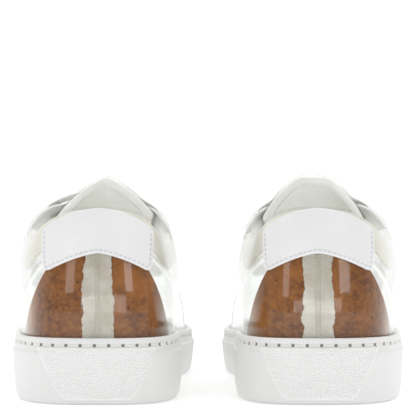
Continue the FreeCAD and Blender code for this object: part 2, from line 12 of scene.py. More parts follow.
import bmesh
import bpy
import numpy as np
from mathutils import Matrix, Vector


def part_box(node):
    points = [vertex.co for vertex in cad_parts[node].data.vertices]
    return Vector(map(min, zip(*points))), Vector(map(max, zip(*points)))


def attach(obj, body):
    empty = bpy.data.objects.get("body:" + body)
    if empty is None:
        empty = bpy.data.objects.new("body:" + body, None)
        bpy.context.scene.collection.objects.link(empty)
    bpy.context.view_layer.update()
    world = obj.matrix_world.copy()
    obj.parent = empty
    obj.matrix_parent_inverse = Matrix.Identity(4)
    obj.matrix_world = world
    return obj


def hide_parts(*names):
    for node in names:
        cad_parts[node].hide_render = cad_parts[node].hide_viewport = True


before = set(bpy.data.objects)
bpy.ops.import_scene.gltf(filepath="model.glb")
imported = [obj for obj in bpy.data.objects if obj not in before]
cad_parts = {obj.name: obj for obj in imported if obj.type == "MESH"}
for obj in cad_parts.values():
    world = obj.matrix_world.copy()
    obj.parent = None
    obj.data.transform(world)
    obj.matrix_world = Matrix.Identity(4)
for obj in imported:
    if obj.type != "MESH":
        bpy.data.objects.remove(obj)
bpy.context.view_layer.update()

MM = 0.001

# %% [markdown]
# ## The shape of one shoe
#
# A shoe is drawn on a last: a solid foot form. Its lower edge is the outline of the sole, and
# its sections narrow as they rise to a ridge. One formula for that form serves every layer,
# from the clear skin to the lining, so the layers nest. Places round the outline are counted
# in poles of a closed curve, heights as a share of the way from the rim to the ridge.
# All shape formulas work in millimetres, in the left shoe's own frame.

# %% Measures, taken from the frame
heel_lo, heel_hi = (np.array(corner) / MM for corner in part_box("left_outsole"))
SPACING = 104.0
HALF_LENGTH = -heel_lo[1]
HALF_WIDTH = 50.5
BACK = -HALF_LENGTH
RIM_HEEL = heel_hi[2]
FLOOR_HEIGHT = 5.0
LEDGE_DROP = 7.0
CUP_WALL = 4.2
UPPER_INSET = CUP_WALL + 0.3
TUCK = 6.5
CLEAR = 1.0
LAYER_GAP = 0.27
UNDER = CLEAR + LAYER_GAP
COLLAR_DIP = 76.5            # height of the collar's lowest point, and of the counter
STITCH_DROP = 3.4            # sole stitching, below the rim
STITCH_PITCH, STITCH_LENGTH = 7.0, 5.3
STITCH_V = 200.0             # the sole's UV row in which the stitching runs
print(f"sole {2 * HALF_LENGTH:.1f} mm long, {RIM_HEEL:.1f} mm high at the heel")

# %% The outline of the sole
EDGE_POLES = [
    (0.0, -1.005), (0.475, -0.99), (0.72, -0.87), (0.80, -0.66), (0.77, -0.40), (0.72, -0.14),
    (0.77, 0.14), (0.89, 0.40), (0.87, 0.66), (0.60, 0.88), (0.12, 1.005), (-0.48, 1.015),
    (-0.92, 0.88), (-1.12, 0.66), (-1.165, 0.40), (-1.07, 0.14), (-0.95, -0.14),
    (-0.905, -0.40), (-0.90, -0.66), (-0.78, -0.87), (-0.485, -0.99),
]
POLES = np.array(EDGE_POLES) * (HALF_WIDTH, HALF_LENGTH)
TURNS = len(POLES)
TIP = 10.5
HEEL_PIVOT, TOE_PIVOT = -0.685 * HALF_LENGTH, 0.58 * HALF_LENGTH


def weights(t):
    """Weights of a uniform cubic B-spline: (1-t)^3, 3t^3-6t^2+4, -3t^3+3t^2+3t+1, t^3, over 6."""
    return np.stack([(1 - t) ** 3, 3 * t**3 - 6 * t**2 + 4,
                     -3 * t**3 + 3 * t**2 + 3 * t + 1, t**3], axis=-1) / 6


def edge(place):
    """Points on the outline: the closed B-spline of the poles at each place."""
    place = np.asarray(place, float)
    span = np.floor(place).astype(int)
    near = (span[..., None] + np.arange(-1, 3)) % TURNS
    return (weights(place - span)[..., None] * POLES[near]).sum(-2)


def along(values, y):
    """A B-spline of seven values spaced evenly from heel to toe, read at y."""
    values = np.array(values, float)
    last = len(values) - 1
    place = np.clip((np.asarray(y) / HALF_LENGTH / 0.822 + 1) / 2, 0, 1) * last
    span = np.minimum(place.astype(int), last - 1)
    near = np.clip(span[..., None] + np.arange(-1, 3), 0, last)
    return (weights(place - span) * values[near]).sum(-1)


# %% [markdown]
# The form rises from the rim as a superellipse: width^n + rise^m = 1. The two powers change
# from heel to toe, so that the heel is upright, the instep is round and the toe is low. A
# small bulge lets the clear sides stand out over the sole at the waist, as they do in wear.

# %% The form over the sole
RIM_LINE = [31.5, 31.5, 29.0, 26.5, 24.0, 24.0, 25.5]
RIDGE_LINE = [128.0, 116.0, 101.0, 82.0, 66.0, 54.0, 49.0]
RISE_POWER = [1.5, 2.2, 4.6, 3.4, 2.3, 2.0, 2.0]
SIDE_POWER = [3.0, 2.9, 2.6, 2.4, 2.4, 2.5, 2.6]
BULGE = [0.0, 0.05, 0.16, 0.09, 0.03, 0.0, 0.0]


def rim(y):
    return along(RIM_LINE, y)


def ridge(y):
    return along(RIDGE_LINE, y)


def smooth(share):
    """0 to 1 with level ends: 3s^2 - 2s^3."""
    share = np.clip(share, 0, 1)
    return share**2 * (3 - 2 * share)


def spine(y):
    """The middle of the foot. y is held between the two pivots by soft corners."""
    def held(low):
        return low + 8.0 * np.log1p(np.exp((y - low) / 8.0))

    middle = held(HEEL_PIVOT) - held(TOE_PIVOT) + TOE_PIVOT
    return -0.15 * HALF_WIDTH * smooth((middle / HALF_LENGTH + 0.685) / 1.03), middle


def section(place):
    """For each place: the outline point, its spine point, and the reach between them."""
    point = edge(place)
    across, middle = spine(point[..., 1])
    centre = np.stack([across, middle], -1)
    reach = np.linalg.norm(point - centre, axis=-1)
    return point, centre, reach


def form(place, share):
    """A point of the outside of the upper: rim at share 0, ridge at 1, below the rim under 0."""
    point, centre, reach = section(place)
    y = centre[..., 1]
    up = np.clip(share, 0, 1)
    wide = np.maximum(1 - up ** along(RISE_POWER, y), 0) ** (1 / along(SIDE_POWER, y))
    wide = wide * (1 + 4 * along(BULGE, y) * up * (1 - up))
    scale = (reach - UPPER_INSET) * wide / reach
    flat = centre + (point - centre) * scale[..., None]
    height = rim(y) + (ridge(y) - rim(y)) * share
    return np.concatenate([flat, height[..., None]], -1)


def bow(wave, power):
    """A wave made squarer (power under 1): sign(w) |w|^power."""
    return np.sign(wave) * np.abs(wave) ** power


def unit(vectors):
    return vectors / np.maximum(np.linalg.norm(vectors, axis=-1, keepdims=True), 1e-9)


def outward(place, share):
    """The unit normal of the form, from small steps round and up it."""
    share = np.clip(share, 0, 0.985)
    step = 0.004
    round_it = form(place + step, share) - form(place - step, share)
    up_it = form(place, share + step) - form(place, np.maximum(share - step, 0))
    return unit(np.cross(round_it, up_it))


def layer(place, share, depth):
    """A point a depth inside the form."""
    return form(place, share) - outward(place, share) * np.asarray(depth)[..., None]


def share_at(place, z):
    """The share at which the form reaches a height."""
    y = section(place)[1][..., 1]
    return (z - rim(y)) / (ridge(y) - rim(y))


def place_at(y, side):
    """The place where the outline reaches y, on the inner (1) or outer (-1) side."""
    y = np.asarray(y, float)
    near, far = np.zeros_like(y), np.full_like(y, TIP if side > 0 else TIP - TURNS)
    for _ in range(40):
        half = (near + far) / 2
        low = edge(half)[..., 1] < y
        near, far = np.where(low, half, near), np.where(low, far, half)
    return (near + far) / 2


def gone_along(points):
    """The distance gone at each point of a line."""
    return np.concatenate([[0], np.cumsum(np.linalg.norm(np.diff(points, axis=0), axis=1))])


ROUND = np.linspace(0, 3, 601)
ROUND_LENGTH = gone_along(form(ROUND, np.full_like(ROUND, 0.4)))


def walk(distance):
    """The place a distance round the heel from its back, either way."""
    return np.sign(distance) * np.interp(np.abs(distance), ROUND_LENGTH, ROUND)


# %% [markdown]
# Two lines cut the form: the collar, which dips at the ankle and rises to the ears, and the
# throat, the gap over the tongue. A quarter ends at whichever is lower, with a soft corner.

# %% The collar and the throat
EAR_Y, THROAT_Y = BACK + 103.0, BACK + 160.0
QUARTER_FOOT_Y = BACK + 206.0


def collar_line(y):
    """Dip plus a power of the distance from it: 1.6 towards the heel, 2.2 towards the ears."""
    dip = BACK + 65.0
    behind = 17.0 * np.maximum((dip - y) / (dip - BACK), 0) ** 1.6
    ahead = 19.0 * np.maximum((y - dip) / 38.0, 0) ** 2.2
    return COLLAR_DIP + behind + ahead


def throat_line(place, widen=0.0):
    """The height at which the form has narrowed to the throat's half width plus widen."""
    _, centre, reach = section(place)
    y = centre[..., 1]
    half = 22.0 - 9.0 * np.clip((y - EAR_Y) / (THROAT_Y - EAR_Y), 0, 1) + widen
    share = np.minimum(half / (reach - UPPER_INSET), 1)
    up = (1 - share ** along(SIDE_POWER, y)) ** (1 / along(RISE_POWER, y))
    return rim(y) + (ridge(y) - rim(y)) * up


def top_line(place):
    """A soft minimum of the collar and the throat: -k log(e^(-a/k) + e^(-b/k))."""
    collar, throat = collar_line(edge(place)[..., 1]), throat_line(place)
    return -2.5 * np.logaddexp(-collar / 2.5, -throat / 2.5)


def tuck(place):
    """The lower edge of the upper, down inside the cup."""
    return rim(section(place)[1][..., 1]) - TUCK


# %% [markdown]
# ## From arrays to meshes
#
# Each piece is one or more grids of points. A grid turns into quads between neighbours; two
# matching grids and the walls between their edges make a closed shell. The right shoe is the
# left one in a mirror, so its faces are turned to look outwards again. Each grid also carries
# a UV map in millimetres along its two directions, which cloth and lace finishes read.

# %% Mesh helpers
SIDE = {"left": -1, "right": 1}


def grid_faces(rows, columns, start=0, closed=False):
    """Quads between the points of a grid, whose columns may join end to end."""
    across = columns if closed else columns - 1
    i, j = np.meshgrid(np.arange(rows - 1), np.arange(across), indexing="ij")
    right = (j + 1) % columns
    quads = np.stack([i * columns + j, i * columns + right,
                      (i + 1) * columns + right, (i + 1) * columns + j], -1)
    return quads.reshape(-1, 4) + start


def grid_lengths(grid):
    """Distances along the two directions of a grid, as its UV in millimetres."""
    down = np.linalg.norm(np.diff(grid, axis=0), axis=-1).mean(1)
    over = np.linalg.norm(np.diff(grid, axis=1), axis=-1).mean(0)
    u = np.concatenate([[0], np.cumsum(down)])
    v = np.concatenate([[0], np.cumsum(over)])
    return np.stack(np.meshgrid(u, v, indexing="ij"), -1)


def make_mesh(name, points, faces, uv=None, shoe="left", smooth_angle=40):
    """A mesh object from arrays, placed for its shoe, with its normals turned outwards."""
    points = np.array(points, float).reshape(-1, 3)
    points[:, 0] = (points[:, 0] - SPACING / 2) * -SIDE[shoe]
    mesh = bpy.data.meshes.new(name)
    mesh.from_pydata((points * MM).tolist(), [], [list(map(int, f)) for f in faces])
    if uv is not None:
        loops = np.empty(len(mesh.loops), int)
        mesh.loops.foreach_get("vertex_index", loops)
        mesh.uv_layers.new(name="UVMap").data.foreach_set(
            "uv", np.asarray(uv, float).reshape(-1, 2)[loops].ravel())
    tidy = bmesh.new()
    tidy.from_mesh(mesh)
    bmesh.ops.remove_doubles(tidy, verts=tidy.verts, dist=1e-6)
    bmesh.ops.recalc_face_normals(tidy, faces=tidy.faces)
    tidy.to_mesh(mesh)
    tidy.free()
    mesh.polygons.foreach_set("use_smooth", np.ones(len(mesh.polygons), bool))
    mesh.set_sharp_from_angle(angle=math.radians(smooth_angle))
    piece = bpy.data.objects.new(name, mesh)
    bpy.context.scene.collection.objects.link(piece)
    return piece


def shell_arrays(outer, inner):
    """Points, faces and UV of the closed shell between two matching grids."""
    rows, columns = outer.shape[:2]
    count = rows * columns
    index = np.arange(count).reshape(rows, columns)
    rim_loop = np.concatenate([index[0, :-1], index[:-1, -1], index[-1, :0:-1], index[:0:-1, 0]])
    nxt = np.roll(rim_loop, -1)
    walls = np.stack([rim_loop, rim_loop + count, nxt + count, nxt], -1)
    skin = grid_faces(rows, columns)
    faces = np.concatenate([skin, skin[:, ::-1] + count, walls])
    points = np.concatenate([outer.reshape(-1, 3), inner.reshape(-1, 3)])
    uv = np.concatenate([grid_lengths(outer).reshape(-1, 2)] * 2)
    return points, faces, uv


def shell(name, outer, inner, shoe, **options):
    points, faces, uv = shell_arrays(outer, inner)
    return make_mesh(name, points, faces, uv, shoe, **options)


def spread(start, end, low, high, columns, rows, bend=1.0):
    """Places and shares of a panel: from start to end, and from low to high at each place."""
    a = np.linspace(0, 1, columns)[:, None]
    b = np.linspace(0, 1, rows)[None, :] ** bend
    place = (1 - a) * start(b) + a * end(b)
    z = (1 - b) * low(place) + b * high(place)
    return place, share_at(place, z)


def keep(value):
    return lambda b: np.full_like(b, value)


def panel(name, place, share, depth, thickness, shoe):
    """A sheet of even thickness on the form."""
    return shell(name, layer(place, share, depth), layer(place, share, depth + thickness), shoe)


def dress(piece, shoe, node, slot, finish=None, body="shoe"):
    """Gives a piece its finish (the slot's finish when none is named), puts it on its body and
    hides the CAD node that it stands for.
    """
    piece.data.materials.clear()
    piece.data.materials.append(MATERIALS[finish or slot])
    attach(piece, f"{shoe}_{body}")
    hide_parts(f"{shoe}_{node}")
    return piece


# %% [markdown]
# ## Shader maths as Python
#
# A Value wraps a socket, and an expression on values adds Math nodes: `1 - mask` or
# `grain * 0.4 + 0.3`. Other nodes come from `Finish.node`, which sets a node's own settings
# first and then its sockets. Constants stay on the sockets of the shader itself.

# %% Shader helpers
class Value:
    def __init__(self, finish, socket):
        self.finish, self.socket = finish, socket

    def maths(self, operation, *others):
        inputs = dict(enumerate((self,) + others))
        return self.finish.node("ShaderNodeMath", {"operation": operation}, inputs)

    def __add__(self, other):
        return self.maths("ADD", other)

    __radd__ = __add__

    def __mul__(self, other):
        return self.maths("MULTIPLY", other)

    __rmul__ = __mul__

    def __sub__(self, other):
        return self.maths("SUBTRACT", other)

    def __rsub__(self, other):
        return (self * -1.0) + other

    def __truediv__(self, other):
        return self.maths("DIVIDE", other)

    def band(self, low, high):
        """0 below low, 1 above high, smooth between."""
        return self.finish.node(
            "ShaderNodeMapRange", {"interpolation_type": "SMOOTHSTEP"},
            {"Value": self, "From Min": low, "From Max": high})


class Finish:
    """A new material with one Principled shader, and short ways to add nodes to it."""

    def __init__(self, name, color, roughness, **sockets):
        self.material = bpy.data.materials.new(name)
        self.material.use_nodes = True
        self.tree = self.material.node_tree
        self.shader = self.tree.nodes["Principled BSDF"]
        self.output = self.tree.nodes["Material Output"]
        self.set(**{"Base Color": (*color, 1.0), "Roughness": roughness, **sockets})

    def set(self, **sockets):
        for name, value in sockets.items():
            self.feed(self.shader.inputs[name], value)

    def feed(self, socket, value):
        if isinstance(value, Value):
            self.tree.links.new(value.socket, socket)
        else:
            socket.default_value = value

    def node(self, kind, settings=None, inputs=None, output=0):
        node = self.tree.nodes.new(kind)
        for name, value in (settings or {}).items():
            setattr(node, name, value)
        for name, value in (inputs or {}).items():
            self.feed(node.inputs[name], value)
        return Value(self, node.outputs[output])

    def coords(self, scale=1.0, kind="Object", stretch=(1, 1, 1)):
        source = self.node("ShaderNodeTexCoord", output=kind)
        wide = tuple(scale * s for s in stretch)
        return self.node("ShaderNodeMapping", None, {"Vector": source, "Scale": wide})

    def noise(self, scale, detail=3.0, roughness=0.55, **coords):
        return self.node("ShaderNodeTexNoise", None,
                         {"Vector": self.coords(**coords), "Scale": scale,
                          "Detail": detail, "Roughness": roughness})

    def mix(self, factor, first, second):
        """A colour between two colours, each a tuple or a value."""
        node = self.tree.nodes.new("ShaderNodeMix")
        node.data_type = "RGBA"
        colour = [s for s in node.inputs if s.type == "RGBA"]
        self.feed(node.inputs["Factor"], factor)
        for socket, value in zip(colour, (first, second)):
            self.feed(socket, value if isinstance(value, Value) else (*value, 1.0))
        return Value(self, next(s for s in node.outputs if s.type == "RGBA"))

    def bump(self, height, strength, distance):
        """Sends a height to the shader's normal; distance is in millimetres."""
        normal = self.node("ShaderNodeBump", None,
                           {"Strength": strength, "Distance": distance * MM, "Height": height})
        self.set(Normal=normal)


# %% [markdown]
# ## The finishes
#
# The sole is matt white rubber with a faint cast grain. Patterns are in Object coordinates,
# in metres, so a scale of 1000 is one cell per millimetre.

# %% White rubber, with painted shade for the needle holes of the sole's stitching
def rubber_finish():
    finish = Finish("white_rubber", (0.83, 0.83, 0.825), 0.5)
    grain = finish.noise(900.0, 4.0)
    cloud = finish.noise(22.0, 2.0)
    tone = finish.mix(cloud, (0.77, 0.77, 0.765), (0.82, 0.82, 0.815))
    u_v = finish.node("ShaderNodeSeparateXYZ", None,
                      {"Vector": finish.coords(kind="UV")}, output=0)
    v = Value(finish, u_v.socket.node.outputs[1])
    step = (u_v / STITCH_PITCH).maths("FRACT")
    # Painted shade: a mask of the gaps between stitches, where the needle holes lie in shadow.
    painted_hole_shade = ((step - 0.5).maths("ABSOLUTE") * STITCH_PITCH).band(2.55, 3.0)
    in_groove = 1.0 - ((v - STITCH_V).maths("ABSOLUTE")).band(0.45, 1.0)
    # The hole mask pulls the groove towards near-black: painted shade, not a colour of the rubber.
    finish.set(**{"Base Color": finish.mix(painted_hole_shade * in_groove * 0.9, tone, (0.12, 0.10, 0.08))})
    finish.set(Roughness=cloud * 0.12 + 0.42)
    finish.bump(grain, 0.25, 0.08)
    return finish.material


# %% [markdown]
# Clear PVC is thin and glossy. A see-through shader carries it, mixed with a glossy white one
# by how far the sheet turns away: weak from the front, strong at a glancing angle. A slow
# waviness in the sheet bends the highlights.

# %% Clear PVC
def clear_finish(name, haze, tint=(0.975, 0.98, 0.975)):
    """Reflects haze + facing^4 of the light: the share rises as the sheet turns away."""
    finish = Finish(name, (0.93, 0.93, 0.92), 0.05, Metallic=0.93)
    finish.bump(finish.noise(26.0, 1.5, 0.4), 0.35, 1.2)
    facing = finish.node("ShaderNodeLayerWeight", None, {"Blend": 0.5}, output=1)
    see = finish.tree.nodes.new("ShaderNodeBsdfTransparent")
    see.inputs["Color"].default_value = (*tint, 1.0)
    mix = finish.tree.nodes.new("ShaderNodeMixShader")
    finish.feed(mix.inputs[0], (facing.maths("POWER", 4.0) * 0.7 + haze).maths("MINIMUM", 1.0))
    finish.tree.links.new(see.outputs[0], mix.inputs[1])
    finish.tree.links.new(finish.shader.outputs[0], mix.inputs[2])
    finish.tree.links.new(mix.outputs[0], finish.output.inputs["Surface"])
    return finish.material


# %% [markdown]
# The counter is leatherboard: ground leather fibres pressed with glue. It is warm brown,
# cloudy over centimetres, mottled over millimetres, and has scattered near-black specks.

# %% Leatherboard
def board_finish():
    finish = Finish("leatherboard", (0.20, 0.068, 0.012), 0.5)
    cloud = finish.noise(30.0, 3.0, 0.6)
    mottle = finish.noise(420.0, 5.0, 0.7)
    blotch = finish.noise(110.0, 3.0, 0.6)
    tone = finish.mix(cloud.band(0.35, 0.65), (0.150, 0.042, 0.005), (0.33, 0.108, 0.013))
    tone = finish.mix(blotch.band(0.45, 0.68) * 0.6, tone, (0.105, 0.028, 0.005))
    tone = finish.mix(mottle.band(0.42, 0.62) * 0.55, tone, (0.42, 0.155, 0.024))
    cells = finish.node("ShaderNodeTexVoronoi", None,
                        {"Vector": finish.coords(), "Scale": 210.0, "Randomness": 1.0})
    dice = finish.noise(140.0, 0.0)
    speck = (1.0 - cells.band(0.08, 0.17)) * dice.band(0.48, 0.56)
    fine = finish.node("ShaderNodeTexVoronoi", None,
                       {"Vector": finish.coords(), "Scale": 620.0, "Randomness": 1.0})
    fine_speck = (1.0 - fine.band(0.10, 0.24)) * mottle.band(0.50, 0.58)
    dark = (speck * 0.85).maths("MAXIMUM", fine_speck * 0.6)
    finish.set(**{"Base Color": finish.mix(dark, tone, (0.022, 0.010, 0.006))})
    finish.set(Roughness=mottle * 0.3 + 0.35)
    finish.bump(mottle, 0.4, 0.15)
    return finish.material


# %% [markdown]
# Leather gets fine pebbles from a Voronoi pattern and pores from noise; woven cloth gets its
# over-and-under from two crossed waves in the piece's own UV, which is in millimetres, or in
# Object coordinates on a piece whose remesh has removed its UV.

# %% Leather and woven cloth
def leather_finish(name, light, shade, grain=0.9, depth=0.10, roughness=0.42):
    finish = Finish(name, light, roughness)
    pebbles = finish.node("ShaderNodeTexVoronoi", {"feature": "SMOOTH_F1"},
                          {"Vector": finish.coords(), "Scale": 1000.0 / grain, "Smoothness": 0.6})
    pores = finish.noise(2600.0, 2.0)
    cloud = finish.noise(45.0, 3.0)
    height = pebbles * 0.7 + pores * 0.3
    finish.set(**{"Base Color": finish.mix(cloud.band(0.3, 0.75), light, shade)})
    finish.set(Roughness=cloud * 0.14 + (roughness - 0.05))
    finish.bump(height, 0.45, depth)
    return finish.material


def woven_finish(name, light, shade, thread=0.45, depth=0.16, roughness=0.8, crease=0.0,
                 solid=False):
    """Crosses two waves in UV; a solid piece, which has no UV, takes them from Object."""
    finish = Finish(name, light, roughness)
    finish.set(**{"Sheen Weight": 0.25, "Sheen Roughness": 0.5})
    where = finish.coords(1000.0) if solid else finish.coords(kind="UV")
    parts = finish.node("ShaderNodeSeparateXYZ", None, {"Vector": where})
    u, v = parts, Value(finish, parts.socket.node.outputs[1])
    if solid:
        u, v = u + v, Value(finish, parts.socket.node.outputs[2])
    turn = math.pi / thread
    over = (u * turn).maths("SINE") * (v * turn).maths("SINE")
    fuzz = finish.noise(1500.0, 3.0)
    cloud = finish.noise(60.0, 4.0, 0.6)
    height = over * 0.5 + fuzz * 0.6
    if crease:
        folds = finish.noise(150.0, 2.0, 0.5, stretch=(0.45, 0.45, 1.0))
        height = height + folds * crease
    tone = finish.mix(cloud.band(0.3, 0.7), light, shade)
    # Painted shade: where the weave dips (over below zero) the tone is pulled towards the shade
    # colour, darkening the hollows between threads.
    finish.set(**{"Base Color": finish.mix(over.band(-0.2, -0.9) * 0.35, tone, shade)})
    finish.bump(height, 0.6, depth)
    return finish.material


# %% All finishes
MATERIALS = {
    "clear_pvc": clear_finish("clear_pvc", 0.016),
    "clear_tongue": clear_finish("clear_tongue", 0.03),
    "counter_board": board_finish(),
    "tab_leather": leather_finish("tab_leather", (0.84, 0.84, 0.845), (0.80, 0.80, 0.81)),
    "facing_leather": leather_finish("facing_leather", (0.92, 0.92, 0.91), (0.87, 0.87, 0.86)),
    "footbed_leather": leather_finish("footbed_leather", (0.80, 0.78, 0.73), (0.74, 0.71, 0.66)),
    "tongue_leather": leather_finish("tongue_leather", (0.93, 0.93, 0.91), (0.88, 0.88, 0.85),
                                     grain=1.3, roughness=0.5),
    "collar_fabric": woven_finish("collar_fabric", (0.86, 0.83, 0.74), (0.78, 0.74, 0.64),
                                  thread=0.35, depth=0.08, solid=True),
    "lining_fabric": woven_finish("lining_fabric", (0.88, 0.89, 0.86), (0.82, 0.83, 0.80),
                                  thread=0.6, depth=0.12),
    "seam_tape": woven_finish("seam_tape", (0.93, 0.885, 0.81), (0.70, 0.63, 0.53),
                              thread=0.3, depth=0.5, crease=1.6),
    "lace_cotton": woven_finish("lace_cotton", (0.91, 0.905, 0.88), (0.82, 0.81, 0.78),
                                thread=0.55, depth=0.3),
    "thread": Finish("thread", (0.52, 0.46, 0.38), 0.55).material,
    "sole_thread": Finish("sole_thread", (0.83, 0.82, 0.78), 0.5).material,
    # The white thread of the tab, lap and facing stitching is painted grey: painted shade of its
    # dents and needle holes, so that the stitches show.
    "white_thread_painted_shade": Finish("white_thread_painted_shade", (0.60, 0.61, 0.63), 0.5).material,
    "board": Finish("insole_board", (0.62, 0.55, 0.43), 0.8).material,
    "foam": Finish("midsole_foam", (0.75, 0.74, 0.70), 0.85).material,
}
print("finishes:", len(MATERIALS))

# %% [markdown]
# ## The cup sole
#
# A cup sole is one moulding: a tread, a side wall that stands up round the upper, and a
# rim with the stitching in a groove. Its profile is carried round the outline. Each row of
# the profile is an inset from the outline and a height, which may depend on the rim there.

# %% The sole's profile, carried round the outline
GROOVE_V = [-1.1, -0.8, -0.5, 0.0, 0.5, 0.8, 1.1]
GROOVE_CUT = [0.0, 0.05, 0.32, 0.48, 0.32, 0.05, 0.0]


def sole_rows(y):
    """(inset, height) of each profile row at every y, from the tread's middle to the cup floor."""
    top = rim(y)
    ledge = top - LEDGE_DROP
    stitch = top - STITCH_DROP
    turn = np.radians([8, 22, 38, 54, 70, 84])
    rows = [(14.0, 0 * y), (5.2, 0 * y)]
    rows += [(4.4 - 2.6 * math.sin(t), 2.6 * (1 - math.cos(t)) + 0 * y) for t in turn]
    rows += [(1.45 - 1.35 * s, 2.8 + (ledge - 4.2) * s) for s in (0.15, 0.35, 0.55, 0.75, 0.9, 1.0)]
    rows += [(0.06, ledge - 0.9), (0.14, ledge - 0.5), (0.35, ledge - 0.15), (0.62, ledge)]
    rows += [(0.86, ledge + 0.08), (0.95, ledge + 0.3), (1.02, ledge + 0.8)]
    rows += [(1.2 + 0.12 * h + cut, stitch + h) for h, cut in zip(GROOVE_V, GROOVE_CUT)]
    rows += [(1.5, top - 1.2), (1.6, top - 0.6), (1.85, top - 0.18), (2.25, top)]
    rows += [(3.5, top), (3.95, top - 0.12), (4.15, top - 0.45), (CUP_WALL, top - 1.2)]
    rows += [(CUP_WALL, FLOOR_HEIGHT + 0 * y), (14.0, FLOOR_HEIGHT + 0 * y)]
    return rows


def outline_ring(place, inset, height):
    """The outline drawn in towards the spine by an inset, at a height."""
    point, centre, reach = section(place)
    flat = centre + (point - centre) * ((reach - inset) / reach)[..., None]
    return np.concatenate([flat, (height + 0 * reach)[..., None]], -1)


SOLE_PLACES = np.arange(0, TURNS, TURNS / 504)
SOLE_LAP = np.append(SOLE_PLACES, TURNS) + TIP
EDGE_LENGTH = gone_along(edge(SOLE_LAP))


def build_sole(shoe):
    """Rows of the profile by places round the outline; the last column repeats the first."""
    y = section(SOLE_LAP)[1][:, 1]
    rows = sole_rows(y)
    rings = np.stack([outline_ring(SOLE_LAP, inset, height) for inset, height in rows])
    count = rings.shape[1]
    faces = [list(f) for f in grid_faces(len(rings), count)]
    faces.append(list(range(count - 1))[::-1])
    faces.append([(len(rings) - 1) * count + k for k in range(count - 1)])
    v = np.arange(len(rings)) * 3.0
    first = next(k for k, (_, h) in enumerate(rows) if abs(float((h - rim(y))[0]) + 4.5) < 0.01)
    v[first:first + len(GROOVE_V)] = STITCH_V + np.array(GROOVE_V)
    u, v = np.meshgrid(EDGE_LENGTH, v)
    sole = make_mesh(f"{shoe}_cup_sole", rings, faces, np.stack([u, v], -1), shoe, smooth_angle=50)
    return dress(sole, shoe, "outsole", "sole_rubber", "rubber")


MATERIALS["rubber"] = rubber_finish()

# %% [markdown]
# The back of the heel has a panel of diamond knurling for grip. Each diamond is a small
# pillow between two sets of slanting grooves, real in the mesh: height falls where either
# u/w + z/t or u/w - z/t comes near a whole number.

# %% Knurled heel panel
DIAMOND_WIDE, DIAMOND_TALL, DIAMOND_DEEP = 2.1, 1.45, 0.5


def build_heel_grip(shoe):
    top, low = RIM_HEEL - 4.7, 2.4
    z = np.linspace(low, top, 120)[:, None]
    share = (z - low) / (top - low)
    half = 14.0 + 12.0 * share**0.7
    u = np.linspace(-1, 1, 240)[None, :] * half
    place = walk(u)
    y = section(place)[1][..., 1]
    ledge = rim(y) - LEDGE_DROP
    wall = 1.45 - 1.35 * np.clip((z - 2.8) / (ledge - 4.2), 0, 1)

    def groove(across):
        return np.clip(2 * (2 * np.abs(across % 1 - 0.5)) - 1, 0, 1)

    slant = u / DIAMOND_WIDE + z / DIAMOND_TALL, u / DIAMOND_WIDE - z / DIAMOND_TALL
    pillow = 1 - np.maximum(groove(slant[0]), groove(slant[1])) ** 1.5
    edge_room = np.minimum(np.minimum(share, 1 - share) * (top - low), half - np.abs(u))
    fade = smooth(edge_room / 1.1)
    raised = -0.10 + 0.05 * fade + DIAMOND_DEEP * pillow * fade
    grip = shell(f"{shoe}_heel_grip", outline_ring(place, wall - raised, z),
                 outline_ring(place, wall + 0.7, z), shoe, smooth_angle=80)
    return dress(grip, shoe, "outsole", "sole_rubber", "grip_rubber_painted_light")


# The grip is the sole's white rubber painted lighter (0.90 against 0.83): painted light that makes
# up for the shade in its grooves.
grip_painted_light_finish = Finish("grip_rubber_painted_light", (0.90, 0.90, 0.895), 0.5)
grip_painted_light_finish.set(Roughness=grip_painted_light_finish.noise(40.0) * 0.12 + 0.42)
grip_painted_light_finish.bump(grip_painted_light_finish.noise(900.0, 4.0), 0.25, 0.08)
MATERIALS["grip_rubber_painted_light"] = grip_painted_light_finish.material

# %% [markdown]
# ## Threads
#
# A stitch is a short soft-ended thread that dips into its holes. One template with a few
# dozen faces is set along a path of points and outward directions, again and again.

# %% Stitches along a path


def thread_template(length, radius, dip, rings=6, sides=6):
    """Rings of a capsule along x: radius falls as sqrt(1 - t^6), height as -dip |t|^5."""
    t = np.sin(np.linspace(-1, 1, rings) * math.pi / 2)
    size = radius * np.sqrt(np.maximum(1 - t**6, 0.04))
    turn = np.arange(sides) * 2 * math.pi / sides
    x = np.repeat(t * length / 2, sides)
    y = (size[:, None] * np.cos(turn)).ravel()
    z = (size[:, None] * np.sin(turn) - dip * (np.abs(t) ** 5)[:, None]).ravel()
    faces = [list(f) for f in grid_faces(rings, sides, closed=True)]
    faces += [list(range(sides))[::-1], [(rings - 1) * sides + k for k in range(sides)]]
    return np.stack([x, y, z], -1), faces


def along_path(points, normals, at):
    """Positions, directions and normals at distances along a line of points."""
    length = gone_along(points)
    at = at[at < length[-1]]

    def pick(values, where):
        return np.stack([np.interp(where, length, values[:, k]) for k in range(3)], -1)

    centre = pick(points, at)
    step = 0.15
    return centre, unit(pick(points, at + step) - centre), unit(pick(normals, at))


def thread_arrays(points, normals, pitch, length, radius, dip, start=None):
    at = np.arange(pitch / 2, 2000, pitch) if start is None else start
    centre, direction, normal = along_path(points, normals, at)
    side = unit(np.cross(normal, direction))
    normal = np.cross(direction, side)
    template, faces = thread_template(length, radius, dip)
    axes = np.stack([direction, side, normal], 1)
    placed = centre[:, None, :] + template @ axes
    everything = []
    for k in range(len(centre)):
        everything += [[v + k * len(template) for v in f] for f in faces]
    return placed.reshape(-1, 3), everything


